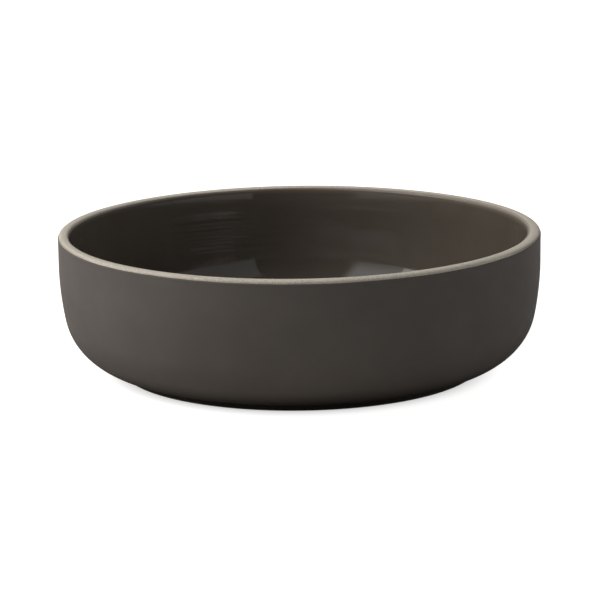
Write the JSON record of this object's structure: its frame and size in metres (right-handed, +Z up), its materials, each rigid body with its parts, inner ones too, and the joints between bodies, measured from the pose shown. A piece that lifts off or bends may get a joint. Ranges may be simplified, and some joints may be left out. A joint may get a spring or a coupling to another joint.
{
  "type": "stoneware bowl",
  "caption": "Low round stoneware bowl with near-upright walls, a rounded lower corner, a bare pale lip, a glossy dark lining and a matt outside; holds and serves food.",
  "frame": {"origin": "centre of the circle that the foot ring stands on", "axes": "+Z up along the axis the bowl was turned on; the picture looks along +Y with +X to its right"},
  "size_m": [0.24, 0.24, 0.07],
  "materials": {
    "bare_clay": "bare fired clay, matt and slightly grainy",
    "gloss_glaze": "glossy brown glaze",
    "matt_glaze": "matt taupe glaze, darker where it pools at the foot",
    "foot_matt_glaze": "matt dark taupe glaze"
  },
  "bodies": {
    "root": {"clay_body": "bare_clay", "inner_glaze": "gloss_glaze", "outer_glaze": "matt_glaze", "foot_glaze": "foot_matt_glaze"}
  },
  "joints": []
}
